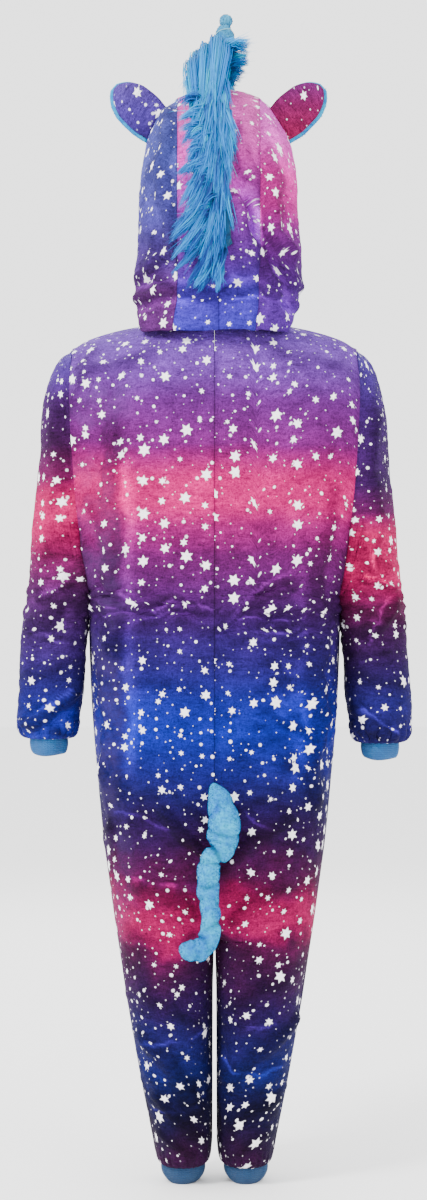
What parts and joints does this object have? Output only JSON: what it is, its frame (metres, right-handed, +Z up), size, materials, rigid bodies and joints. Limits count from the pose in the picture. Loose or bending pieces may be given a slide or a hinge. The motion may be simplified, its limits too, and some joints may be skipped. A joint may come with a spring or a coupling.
{
  "type": "unicorn onesie",
  "caption": "Hooded one-piece fleece costume with long sleeves and legs, a soft horn, ears, a fur mane down the hood and a stuffed tail; worn, hollow, with open hood, cuffs and ankles.",
  "frame": {"origin": "middle of the neck opening, level with where the neck leaves the shoulders, inside the collar line", "axes": "+Z up along the wearer's spine, +Y out of the wearer's back, +X to the wearer's left"},
  "size_m": [0.572, 0.3288, 1.7304],
  "materials": {
    "body_cloth": "brushed fleece",
    "sleeve_cloth": "brushed fleece",
    "hood_cloth": "brushed fleece",
    "plush": "short plush",
    "mane_fur": "long pile",
    "horn_cloth": "short plush",
    "cuff_knit": "ribbed knit",
    "button": "matte"
  },
  "bodies": {
    "root": {"ankle_cuff_left": "cuff_knit", "ankle_cuff_right": "cuff_knit", "back_left": "body_cloth", "back_right": "body_cloth", "button_1": "button", "button_2": "button", "button_3": "button", "button_4": "button", "button_5": "button", "ear_left": "hood_cloth", "ear_lining_left": "plush", "ear_lining_right": "plush", "ear_right": "hood_cloth", "front_left": "body_cloth", "front_placket": "body_cloth", "front_right": "body_cloth", "hood_side_left": "hood_cloth", "hood_side_right": "hood_cloth", "hood_strip_left": "hood_cloth", "hood_strip_right": "hood_cloth", "horn": "horn_cloth", "mane": "mane_fur", "sleeve_left": "sleeve_cloth", "sleeve_right": "sleeve_cloth", "tail": "plush", "wrist_cuff_left": "cuff_knit", "wrist_cuff_right": "cuff_knit"}
  },
  "joints": []
}
